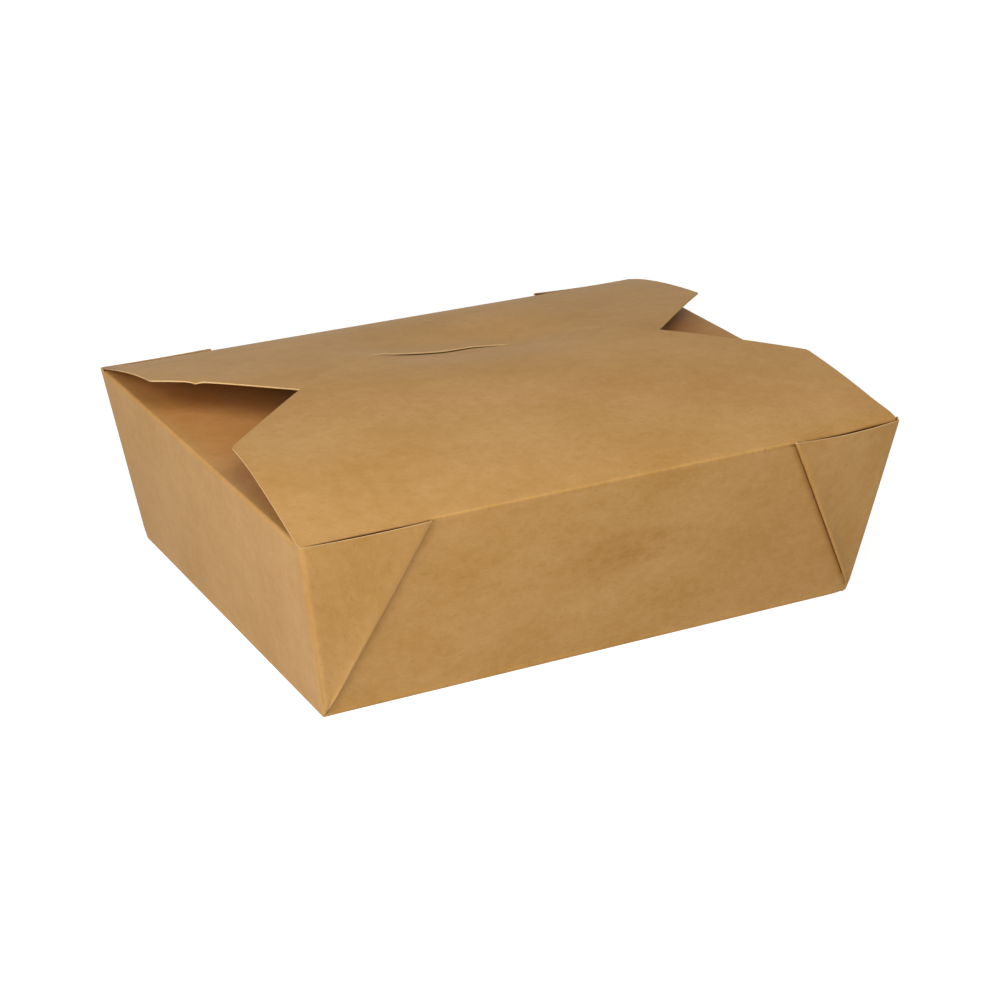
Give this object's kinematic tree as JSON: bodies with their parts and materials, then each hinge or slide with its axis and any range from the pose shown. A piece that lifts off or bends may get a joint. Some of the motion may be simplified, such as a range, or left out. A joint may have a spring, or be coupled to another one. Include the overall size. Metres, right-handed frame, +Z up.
{
  "type": "folded kraft lunch box",
  "caption": "Take-out lunch box folded from a single sheet of brown kraft board, with flared walls, folded ears at its corners and an arched lid whose tongue locks into a slit.",
  "frame": {"origin": "centre of the underside of the base, with the lid closed", "axes": "+X along the long side, to the right in the picture; -Y to the front, where the flap with the tongue is folded; +Z up"},
  "size_m": [0.216, 0.1731, 0.0772],
  "materials": {
    "kraft_board": "matte brown kraft board with fine flecks and pale cut edges"
  },
  "bodies": {
    "carton": {"carton": "kraft_board"},
    "front_flap": {"front_flap": "kraft_board"}
  },
  "joints": [
    {"name": "front_flap_hinge", "type": "hinge", "parent": "carton", "child": "front_flap", "pos_m": [0, -0.08528, 0.06327], "axis": [1, 0, 0], "range_deg": [0, 165]}
  ]
}
